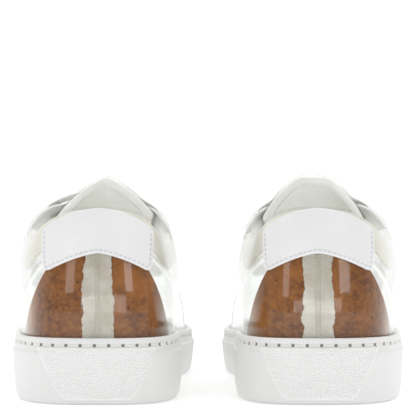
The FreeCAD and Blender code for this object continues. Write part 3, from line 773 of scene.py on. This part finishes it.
def build_threads(shoe, node, rows, slot="thread", material="thread"):
    """One piece from several rows, each (points, normals, pitch, length, radius, dip[, start])."""
    points, faces = [], []
    for row in rows:
        placed, row_faces = thread_arrays(*row)
        offset = sum(len(p) for p in points)
        points.append(placed)
        faces += [[v + offset for v in f] for f in row_faces]
    piece = make_mesh(f"{shoe}_{node}_threads", np.concatenate(points), faces, None, shoe)
    return dress(piece, shoe, node, slot, material)


def on_upper(place, z, depth):
    share = share_at(place, z)
    return layer(place, share, depth), outward(place, share)


def sole_thread_row():
    """The line in the sole's groove, its outward directions, and where each stitch sits on it."""
    point, centre, _ = section(SOLE_LAP)
    y = centre[:, 1]
    line = outline_ring(SOLE_LAP, 1.2 + 0.30, rim(y) - STITCH_DROP)
    out = np.concatenate([point - centre, 0 * y[:, None]], -1)
    at = np.arange(STITCH_PITCH / 2, EDGE_LENGTH[-1] - 3, STITCH_PITCH)
    return line, unit(out), np.interp(at, EDGE_LENGTH, gone_along(line))


SOLE_ROW = sole_thread_row()
print("sole stitches in a shoe:", len(SOLE_ROW[2]))


# %% [markdown]
# ## The clear quarters and the vamp
#
# A quarter runs from the seam at the back of the heel to the lap over the vamp, and from
# inside the cup up to the collar and the throat. The vamp is one sheet over the toe. Its
# grid has straight sections behind the toe's pivot and bends into a half disc over the toe,
# by the mapping x = w sqrt(1 - p^2/2), y = p sqrt(1 - w^2/2), so that no grid line pinches.

# %% Quarters
SEAM = float(walk(0.08))


def lap_y(b):
    """The front edge of a quarter, from its foot (b = 0) to the throat (b = 1)."""
    return QUARTER_FOOT_Y + (THROAT_Y + 8.0 - QUARTER_FOOT_Y) * b**0.8


def front_of_quarter(side):
    return lambda b: place_at(lap_y(b), side)


def build_quarter(shoe, label, side):
    place, share = spread(keep(side * SEAM), front_of_quarter(side), tuck, top_line, 170, 44)
    piece = panel(f"{shoe}_quarter_{label}_sheet", place, share, 0.0, CLEAR, shoe)
    return dress(piece, shoe, f"quarter_{label}", "clear_pvc")


# %% Vamp
def vamp_cells(rows, columns):
    """Places and shares over the toe, by the square-to-half-disc mapping."""
    a = np.linspace(0, 1, rows)[:, None]
    across = np.linspace(-1, 1, columns)[None, :]
    turn = 0.5
    side = np.where(across < 0, 1, -1) + 0 * a.astype(int)
    start = THROAT_Y + 4.0 + (QUARTER_FOOT_Y - THROAT_Y - 13.0) * np.abs(across) ** 1.5
    y_straight = start + (TOE_PIVOT - start) * np.clip(a / turn, 0, 1)
    straight = np.where(side > 0, place_at(y_straight, 1), place_at(y_straight, -1))
    ahead = np.clip((a - turn) / (1 - turn), 0, 1)
    x = across * np.sqrt(1 - ahead**2 / 2)
    y = ahead * np.sqrt(1 - across**2 / 2)
    radius = np.clip(np.hypot(x, y), 0, 1)
    lean = np.where(radius > 0, np.abs(x) / np.maximum(radius, 1e-9), 1.0)
    turned = 1 - (2 / math.pi) * np.arcsin(np.clip(lean, 0, 1))
    pivots = np.where(side > 0, place_at(TOE_PIVOT, 1), place_at(TOE_PIVOT, -1))
    tips = np.where(side > 0, TIP, TIP - TURNS)
    curved = pivots + (tips - pivots) * turned
    place = np.where(a <= turn, straight, curved)
    radius = np.where(a <= turn, np.abs(across) + 0 * a, radius)
    middle = section(place)[1][..., 1]
    share = np.sin((1 - radius) * math.pi / 2) ** (2 / along(RISE_POWER, middle))
    return place, share


def build_vamp(shoe):
    place, share = vamp_cells(96, 97)
    skins = []
    for depth in (UNDER, UNDER + CLEAR):
        normal = np.where((share < 0.985)[..., None], outward(place, share), (0.0, 0.0, 1.0))
        skins.append(form(place, share) - normal * depth)
    piece = shell(f"{shoe}_vamp_sheet", skins[0], skins[1], shoe)
    return dress(piece, shoe, "vamp", "clear_pvc")


# %% [markdown]
# ## What shows through the clear sheet
#
# The leatherboard counter cups the heel, its wings falling to the rim. A crumpled cotton
# tape covers the back seam; its edges wander and it has creases across, as a tape has that
# was stitched straight and then turned. White leather facings carry the lace.

# %% Heel counter, lining, tape and facings


def wobble(t, seed, waves=5, longest=40.0):
    """A smooth random line from -1 to 1: sines of falling length with seeded phases."""
    dice = np.random.default_rng(seed)
    total = 0 * t
    for k in range(waves):
        phase = 2 * math.pi * t * (k + 1) / longest + dice.uniform(0, 6.28)
        total = total + np.sin(phase) / (k + 1) ** 0.6
    return total / 2.2


WING_REACH = 44.0
TAPE_TOP = 73.5


def counter_line(place):
    left = np.maximum(1 - (edge(place)[..., 1] - BACK) / WING_REACH, 0)
    foot = RIM_HEEL + 1.5
    return foot + (COLLAR_DIP - foot) * left**1.5


def heel_panel(shoe, node, high, depth, thickness, slot):
    place, share = spread(keep(WING_ENDS[1]), keep(WING_ENDS[0]), tuck, high, 150, 40)
    piece = panel(f"{shoe}_{node}_layer", place, share, depth, thickness, shoe)
    return dress(piece, shoe, node, slot)


WING_ENDS = (float(place_at(BACK + WING_REACH, 1)), float(place_at(BACK + WING_REACH, -1)))
COUNTER_THICK, LINING_THICK = 1.5, 0.7
COUNTER_DEPTH = UNDER + 0.4 + LAYER_GAP
LINING_DEPTH = COUNTER_DEPTH + COUNTER_THICK + LAYER_GAP


def build_tape(shoe):
    z = np.linspace(RIM_HEEL - TUCK, TAPE_TOP, 260)[None, :]
    a = np.linspace(-1, 1, 60)[:, None]
    seed = 11 if shoe == "left" else 12
    half = 7.0 + 0.7 * wobble(z, seed) + 0.4 * wobble(z, seed + 40, longest=9.0)
    place = walk(a * half + 0.5 * wobble(z, seed + 80))
    share = share_at(place, z + 0 * a)
    slant = z + 2.5 * wobble(a * 7 + 20, seed + 5, longest=14.0) + 4.0 * np.abs(a) * np.sign(a)
    crease = np.exp(-((wobble(slant, seed + 9, longest=17.0) / 0.16) ** 2))
    puff_up = 0.5 + 0.5 * wobble(slant * 0.8 + 2 * a, seed + 3, longest=9.0)
    off_seam = np.clip(np.abs(a * half) - 1.4, 0, 1)
    ripple = (0.19 * crease + 0.19 * puff_up) * off_seam
    beside = (np.abs(a * half) - 1.3) / 0.35
    seam = -0.16 * np.exp(-((a * half) / 0.5) ** 2) + 0.16 * np.exp(-(beside**2))
    depth = UNDER + 0.04 + ripple + seam - 0.05 * np.abs(a) ** 8
    outer = layer(place, share, depth)
    inner = layer(place, share, depth + 0.25)
    piece = shell(f"{shoe}_seam_tape", outer, inner, shoe, smooth_angle=80)
    return dress(piece, shoe, "back_seam_tape", "seam_tape")


def build_facing(shoe, label, side):
    start, end = float(place_at(EAR_Y - 3.0, side)), float(place_at(THROAT_Y + 1.0, side))
    place, share = spread(keep(start), keep(end), lambda p: throat_line(p, 13.0),
                          lambda p: top_line(p) - 0.3, 90, 20)
    piece = panel(f"{shoe}_facing_{label}_layer", place, share, UNDER, 1.0, shoe)
    return dress(piece, shoe, f"facing_{label}", "white_leather", "facing_leather")


# %% [markdown]
# ## The heel tab
#
# The tab is a shield of white leather outside the clear sheet. Its lower edge arches over
# the seam, its corners are rounded, and its cut edge shows as a thin line. The grid's edge
# rows sink a little, so that the edge is rounded as cut leather is.

# %% Heel tab
TAB_HALF, TAB_FLARE = 26.2, 3.6
TAB_THICK, TAB_STITCH_IN = 1.3, 1.6


def tab_low(share):
    return 71.3 - 9.8 * np.abs(share) ** 1.5


def tab_high(share):
    return 92.3 - 9.6 * share**2


def tab_corner(a, radius=4.2):
    """How far the lower edge lifts at the ends to round the corners: r - sqrt(r^2 - d^2)."""
    d = np.clip(radius - (1 - np.abs(a)) * TAB_HALF, 0, radius * 0.999)
    return radius - np.sqrt(radius**2 - d**2)


def build_tab(shoe):
    a = np.sin(np.linspace(-1, 1, 150) * math.pi / 2)[:, None]
    b = (1 - np.cos(np.linspace(0, 1, 60) * math.pi))[None, :] / 2
    low = tab_low(a) + tab_corner(a)
    high = tab_high(a) - tab_corner(a, 2.2)
    z = low + (high - low) * b
    place = walk(a * (TAB_HALF + TAB_FLARE * b))
    share = share_at(place, z)
    room = np.minimum(np.minimum(z - low, high - z), (1 - np.abs(a)) * TAB_HALF)
    edge_drop = 0.45 * (1 - np.sqrt(1 - (1 - np.clip(room / 0.6, 0, 1)) ** 2))
    line = np.abs(np.minimum(np.minimum(z - low, (1 - np.abs(a)) * TAB_HALF), 9) - TAB_STITCH_IN)
    dent = 0.13 * np.exp(-((line / 0.5) ** 2))
    outer = layer(place, share, -LAYER_GAP - TAB_THICK + edge_drop + dent)
    inner = layer(place, share, -LAYER_GAP)
    piece = shell(f"{shoe}_tab_leather", outer, inner, shoe, smooth_angle=70)
    return dress(piece, shoe, "heel_tab", "white_leather", "tab_leather")


def tab_stitch_path():
    """Down one end, along the lower edge and up the other, TAB_STITCH_IN inside the edge."""
    inset = TAB_STITCH_IN / TAB_HALF
    a = np.concatenate([np.full(30, -1 + inset), np.linspace(-1 + inset, 1 - inset, 200)[1:-1],
                        np.full(30, 1 - inset)])
    low = tab_low(a) + TAB_STITCH_IN + tab_corner(np.clip(np.abs(a) + inset, 0, 1), 2.0)
    high = tab_high(a) - 2.2
    rise = np.concatenate([np.linspace(1, 0, 30), np.zeros(198), np.linspace(0, 1, 30)])
    return walk(a * (TAB_HALF + TAB_FLARE * rise)), low + (high - low) * rise


# %% [markdown]
# ## Padded pieces
#
# The collar pads and the tongues are foam in cloth. Each is built a little thin, remeshed,
# and blown up by Blender's cloth solver with the movement capped, which crowns the faces and
# pulls the edges round.

# %% Cloth inflation
def puff(piece, voxel, pressure, cap):
    """Remesh, simulate with inner pressure and no gravity, cap each point's movement (mm)."""
    bpy.context.view_layer.objects.active = piece
    remesh = piece.modifiers.new("even", "REMESH")
    remesh.mode, remesh.voxel_size = "VOXEL", voxel * MM
    bpy.ops.object.modifier_apply(modifier=remesh.name)
    count = len(piece.data.vertices)
    before = np.empty(count * 3)
    piece.data.vertices.foreach_get("co", before)
    cloth = piece.modifiers.new("cloth", "CLOTH")
    cloth.settings.use_pressure = True
    cloth.settings.uniform_pressure_force = pressure
    cloth.settings.effector_weights.gravity = 0
    cloth.settings.quality = 4
    cloth.settings.mass = 0.3
    scene = bpy.context.scene
    for frame_number in range(1, 13):
        scene.frame_set(frame_number)
    moved = piece.evaluated_get(bpy.context.evaluated_depsgraph_get())
    after = np.empty(count * 3)
    moved.data.vertices.foreach_get("co", after)
    piece.modifiers.remove(cloth)
    scene.frame_set(1)
    shift = (after - before).reshape(-1, 3)
    shift -= shift.mean(0)
    size = np.maximum(np.linalg.norm(shift, axis=1, keepdims=True), 1e-9)
    shift *= np.minimum(1, cap * MM / size)
    piece.data.vertices.foreach_set("co", (before.reshape(-1, 3) + shift).ravel())
    finer = piece.modifiers.new("finer", "SUBSURF")
    finer.levels = finer.render_levels = 1
    bpy.ops.object.modifier_apply(modifier=finer.name)
    piece.data.polygons.foreach_set("use_smooth", np.ones(len(piece.data.polygons), bool))
    moved_mm = min(size.max() / MM, cap)
    print(f"{piece.name}: moved up to {moved_mm:.2f} mm, {len(piece.data.polygons)} faces")
    return piece


# %% Collar pads
def build_collar_pad(shoe, label, side):
    """A flattened tube along the collar: a superellipse ring in depth and height."""
    start, end = side * SEAM, float(place_at(EAR_Y - 12.0, side))
    t = np.linspace(0, 1, 110)[:, None]
    place = start + (end - start) * t
    y = edge(place)[..., 1]
    tall = 15.0 - 9.0 * smooth((y + 70.0) / 26.0)
    top = top_line(place) - 0.2
    turn = np.linspace(0, 2 * math.pi, 57)[None, :-1]
    front_end = np.sqrt(np.clip(1 - np.clip((t - 0.94) / 0.06, 0, 1) ** 2, 0.01, 1))
    fat = 2.0 * front_end
    z = top - tall / 2 + tall / 2 * bow(np.sin(turn), 0.8) * front_end
    depth = UNDER + 2.05 - fat * bow(np.cos(turn), 0.7) * (0.75 + 0.25 * np.sin(turn))
    place = place + 0 * turn
    points = layer(place, share_at(place, z), depth)
    rows, ring = points.shape[:2]
    faces = [list(f) for f in grid_faces(rows, ring, closed=True)]
    faces += [list(range(ring)), [(rows - 1) * ring + k for k in range(ring)]]
    piece = make_mesh(f"{shoe}_collar_{label}_padding", points, faces, grid_lengths(points), shoe)
    dress(piece, shoe, f"collar_pad_{label}", "collar_fabric")
    return piece


# %% [markdown]
# ## Tongue
#
# The tongue is an arch under the facings. Its free end stands up behind the lace: on the
# left shoe it is pinched to a peak, on the right it is level in the middle. Seen from the
# heel, its rolled white edge frames the pale grey lining inside.

# %% The arch of the tongue
TONGUE_BASE_Y, TONGUE_TIP_Y, TONGUE_RISE_Y = THROAT_Y + 10.0, EAR_Y - 11.0, EAR_Y + 14.0
LACE_BED, PAD_BED = UNDER + 1.0 + 1.0, UNDER + 4.0 + 1.0
TONGUE_FLAT = {"left": 0.0, "right": 7.0}
TONGUE_HALF = 27.5


def form_height(x, y, depth):
    """Height over (x, y) of the form drawn in by a depth, by halving the share."""
    across = spine(y)[0]
    place = np.where(x >= across, place_at(y, 1), place_at(y, -1))
    reach = np.abs(form(place, np.zeros_like(place))[..., 0] - across)
    wanted = np.abs(x - across) * reach / (reach - depth)
    near, far = np.zeros_like(wanted), np.ones_like(wanted)
    for _ in range(26):
        half = (near + far) / 2
        wide = np.abs(form(place, half)[..., 0] - across) > wanted
        near, far = np.where(wide, half, near), np.where(wide, far, half)
    return rim(y) + (ridge(y) - depth - rim(y)) * near


def arch_point(shoe, a, b):
    """The tongue's outer face: the form's bed, blended into the arch of the free end."""
    y = TONGUE_BASE_Y + (TONGUE_TIP_Y - TONGUE_BASE_Y) * b
    half = 25.0 + 2.5 * b
    out = (2 * a - 1) * half
    x = spine(y)[0] + out
    sink = LACE_BED + (PAD_BED - LACE_BED) * smooth((EAR_Y + 12.0 - y) / 14.0)
    bed = form_height(x, y, sink)
    flat = TONGUE_FLAT[shoe]
    lean = 1.6 if shoe == "left" else 0.0
    fall = np.maximum(np.abs(out - lean) - flat, 0) * TONGUE_HALF / (TONGUE_HALF - flat)
    end = 109.4 - 0.33 * fall - 0.0185 * fall**2
    share = smooth((TONGUE_RISE_Y - y) / (TONGUE_RISE_Y - TONGUE_TIP_Y))
    return np.stack([x + 0 * y, y + 0 * x, bed + (end - bed) * share], -1)


def arch_grid(shoe, rows, columns, low=(0.0, 0.0), high=(1.0, 1.0)):
    """Points, outward normals and distances from the edges (mm) over part of the arch."""
    a = np.linspace(low[0], high[0], rows)[:, None] + np.zeros((1, columns))
    b = np.linspace(low[1], high[1], columns)[None, :] + np.zeros((rows, 1))
    step = 0.004
    across = arch_point(shoe, a + step, b) - arch_point(shoe, a - step, b)
    lengthwise = arch_point(shoe, a, b + step) - arch_point(shoe, a, b - step)
    normal = unit(np.cross(across, lengthwise))
    normal *= np.where(normal[..., 2:] < 0, -1, 1)
    points = arch_point(shoe, a, b)
    room = np.minimum(np.minimum(a - low[0], high[0] - a) * 62.0,
                      np.minimum(b - low[1], high[1] - b) * 88.0)
    return points, normal, room


def build_tongue(shoe):
    points, normal, room = arch_grid(shoe, 110, 120)
    round_off = np.sqrt(np.clip(1 - (1 - np.clip(room / 2.3, 0, 1)) ** 2, 0, 1))[..., None]
    thick, middle = 1.95 * round_off, 0.75 + 2.0
    padding = shell(f"{shoe}_tongue_padding", points - normal * (middle - thick),
                    points - normal * (middle + thick), shoe, smooth_angle=80)
    dress(padding, shoe, "tongue", "tongue_leather", body="tongue")
    points, normal, _ = arch_grid(shoe, 90, 100)
    cover = shell(f"{shoe}_tongue_clear", points, points - normal * 0.5, shoe)
    dress(cover, shoe, "tongue_cover", "clear_pvc", "clear_tongue", "tongue")
    points, normal, _ = arch_grid(shoe, 90, 100, (0.065, 0.03), (0.935, 0.957))
    lining = shell(f"{shoe}_tongue_inside", points - normal * 4.75,
                   points - normal * 5.15, shoe)
    dress(lining, shoe, "tongue_lining", "lining_fabric", body="tongue")
    return padding


# %% [markdown]
# ## Lace
#
# The lace is flat woven cotton in straight bars. Each bar is a band that comes up through
# one hole, lies over the facings and the tongue, and goes down the other. The band narrows
# as it folds into a hole, and its surface follows u along and v across for the weave.

# %% Lace bars
EYELET_ROWS = 6
LACE_GAP, LACE_THICK, LACE_WIDE = 0.6, 1.1, 5.5


def eyelet_places(side):
    y = EAR_Y + 7.0 + (THROAT_Y - 14.0 - EAR_Y) * np.arange(EYELET_ROWS) / (EYELET_ROWS - 1)
    place = place_at(y, side)
    return place, share_at(place, throat_line(place, 7.0))


def build_lace(shoe):
    ends = [form(*eyelet_places(side)) for side in (-1, 1)]
    points, faces, uv = [], [], []
    for row in range(EYELET_ROWS):
        left, right = ends[0][row], ends[1][row]
        a = np.linspace(0, 1, 90)[:, None]
        turn = np.linspace(0, 2 * math.pi, 25)[None, :-1]
        room = np.minimum(a, 1 - a) * np.linalg.norm(right - left)
        x, y = left[0] + (right[0] - left[0]) * a, left[1] + (right[1] - left[1]) * a
        sag = 0.25 * np.sin(a * math.pi * 3 + row)
        wide = LACE_WIDE / 2 * (0.55 + 0.45 * smooth(room / 3.5))
        ring_v = bow(np.cos(turn), 0.55) * wide
        ring_h = bow(np.sin(turn), 0.8) * LACE_THICK / 2
        lift = LACE_GAP + LACE_THICK / 2 - 3.0 * (1 - smooth(room / 2.4))
        y_ring = y + ring_v + sag
        x_ring = x + 0 * ring_v
        base = form_height(x_ring, y_ring, np.zeros_like(x_ring))
        slope = (form_height(x_ring + 0.5, y_ring, 0 * x_ring)
                 - form_height(x_ring - 0.5, y_ring, 0 * x_ring))
        tilt = np.arctan(np.clip(slope, -2.5, 2.5))
        height = lift + ring_h
        ring = np.stack([x_ring - np.sin(tilt) * height, y_ring, base + np.cos(tilt) * height], -1)
        start = sum(len(p) for p in points)
        count = ring.shape[1]
        faces += [list(f) for f in grid_faces(90, count, start, closed=True)]
        faces += [[start + k for k in range(count)], [start + 89 * count + k for k in range(count)]]
        points.append(ring.reshape(-1, 3))
        uv.append(np.stack([a * 60 + 0 * ring_v, ring_v + 0 * a], -1).reshape(-1, 2))
    piece = make_mesh(f"{shoe}_lace_bars", np.concatenate(points), faces, np.concatenate(uv), shoe,
                      smooth_angle=70)
    return dress(piece, shoe, "lace", "lace_cotton")


# %% [markdown]
# ## Build the pair

# %% Build both shoes
for shoe in SIDE:
    build_sole(shoe)
    build_heel_grip(shoe)
    for label, side in (("medial", 1), ("lateral", -1)):
        build_quarter(shoe, label, side)
        build_facing(shoe, label, side)
        pad = build_collar_pad(shoe, label, side)
        puff(pad, 1.1, 3.0, 0.5)
    build_vamp(shoe)
    build_tape(shoe)
    heel_panel(shoe, "heel_counter", counter_line, COUNTER_DEPTH, COUNTER_THICK, "counter_board")
    heel_panel(shoe, "heel_lining", lambda p: counter_line(p) - 1.0, LINING_DEPTH, LINING_THICK,
               "lining_fabric")
    build_tab(shoe)
    build_lace(shoe)
    puff(build_tongue(shoe), 1.3, 3.0, 0.5)
    tab_path = on_upper(*tab_stitch_path(), -LAYER_GAP - TAB_THICK - 0.02)
    build_threads(shoe, "heel_tab_stitching", [(*tab_path, 2.4, 1.7, 0.27, 0.3)],
                  material="white_thread_painted_shade")
    seam_rows = []
    for offset in (-0.9, 0.9):
        z = np.linspace(RIM_HEEL + 1.0, TAPE_TOP, 80)
        row = on_upper(np.full(80, float(walk(offset))), z, -0.12)
        seam_rows.append((*row, 1.7, 1.15, 0.22, 0.22))
    build_threads(shoe, "back_seam_stitching", seam_rows)
    sole_row = (*SOLE_ROW[:2], STITCH_PITCH, STITCH_LENGTH, 0.5, 0.45, SOLE_ROW[2])
    build_threads(shoe, "sole_stitching", [sole_row], material="sole_thread")
    lap_rows, facing_rows = [], []
    for side in (1, -1):
        b = np.linspace(0.2, 0.97, 90)
        place = place_at(lap_y(b) - 2.5, side)
        z = tuck(place) * (1 - b) + top_line(place) * b
        lap_rows.append((*on_upper(place, z, -0.1), 2.4, 1.9, 0.22, 0.25))
        for drop in (2.0, 10.0):
            place = np.linspace(place_at(EAR_Y + 2.0, side), place_at(THROAT_Y, side), 90)
            row = on_upper(place, throat_line(place, drop), -0.1)
            facing_rows.append((*row, 2.4, 1.9, 0.22, 0.25))
    build_threads(shoe, "vamp_stitching", lap_rows, material="white_thread_painted_shade")
    build_threads(shoe, "facing_stitching", facing_rows, material="white_thread_painted_shade")
    for node, material in (("midsole_filler", "foam"), ("insole_board", "board"),
                           ("footbed", "footbed_leather")):
        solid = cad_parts[f"{shoe}_{node}"]
        solid.data.materials.clear()
        solid.data.materials.append(MATERIALS[material])

# %% [markdown]
# ## Studio
#
# A round white floor, a large soft lamp overhead, two soft boxes and a low strip behind the
# camera, and a long level lens a metre behind the heels.

# %% Floor, lamps and camera
floor_mesh = bpy.data.meshes.new("studio_floor")
turn = np.arange(64) * 2 * math.pi / 64
rim_points = np.stack([2.4 * np.cos(turn), 2.4 * np.sin(turn), 0 * turn], -1)
floor_mesh.from_pydata(rim_points.tolist(), [], [list(range(64))])
floor = bpy.data.objects.new("studio_floor", floor_mesh)
bpy.context.scene.collection.objects.link(floor)
floor_finish = Finish("studio_white", (0.90, 0.90, 0.90), 0.9)
floor_finish.set(**{"Emission Color": (1.0, 1.0, 1.0, 1.0), "Emission Strength": 0.24,
                    "Specular IOR Level": 0.1})
floor_mesh.materials.append(floor_finish.material)


def lamp(name, place, aim, size, power):
    """A rectangle of light at a place, turned to face a point."""
    light = bpy.data.lights.new(name, "AREA")
    light.shape, light.size, light.size_y, light.energy = "RECTANGLE", size[0], size[1], power
    holder = bpy.data.objects.new(name, light)
    holder.location = place
    direction = Vector(aim) - Vector(place)
    holder.rotation_euler = direction.to_track_quat("-Z", "Y").to_euler()
    bpy.context.scene.collection.objects.link(holder)


lamp("overhead", (0.0, 0.1, 1.7), (0, 0.0, 0), (2.6, 2.6), 19.0)
lamp("left_box", (-0.75, -1.45, 0.50), (0, -0.1, 0.05), (0.34, 0.7), 2.9)
lamp("right_box", (0.70, -1.45, 0.34), (0, -0.1, 0.05), (0.40, 0.36), 2.4)
lamp("low_box", (0.1, -1.9, 0.06), (0, -0.1, 0.05), (1.2, 0.16), 2.4)

world = bpy.data.worlds.new("studio")
world.use_nodes = True
sky = world.node_tree
direction = sky.nodes.new("ShaderNodeTexCoord")
split = sky.nodes.new("ShaderNodeSeparateXYZ")
fade = sky.nodes.new("ShaderNodeMapRange")
fade.interpolation_type = "SMOOTHSTEP"
for socket, value in {"From Min": -0.95, "From Max": 0.35, "To Min": 0.07, "To Max": 1.06}.items():
    fade.inputs[socket].default_value = value
sky.links.new(direction.outputs["Generated"], split.inputs[0])
sky.links.new(split.outputs["Y"], fade.inputs["Value"])
sky.links.new(fade.outputs[0], sky.nodes["Background"].inputs["Strength"])
sky.nodes["Background"].inputs["Color"].default_value = (1, 1, 1, 1)
bpy.context.scene.world = world
bpy.context.scene.view_settings.view_transform = "Standard"

FOCAL_SHARE = 5.12           # focal length over the picture's width
camera_data = bpy.data.cameras.new("camera")
camera_data.sensor_width = 36.0
camera_data.lens = FOCAL_SHARE * camera_data.sensor_width
camera = bpy.data.objects.new("camera", camera_data)
camera.location = (0.0, BACK * MM - 1.0, 0.097)
camera.rotation_euler = (math.radians(90 - 0.24), 0, 0)
bpy.context.scene.collection.objects.link(camera)
bpy.context.scene.camera = camera
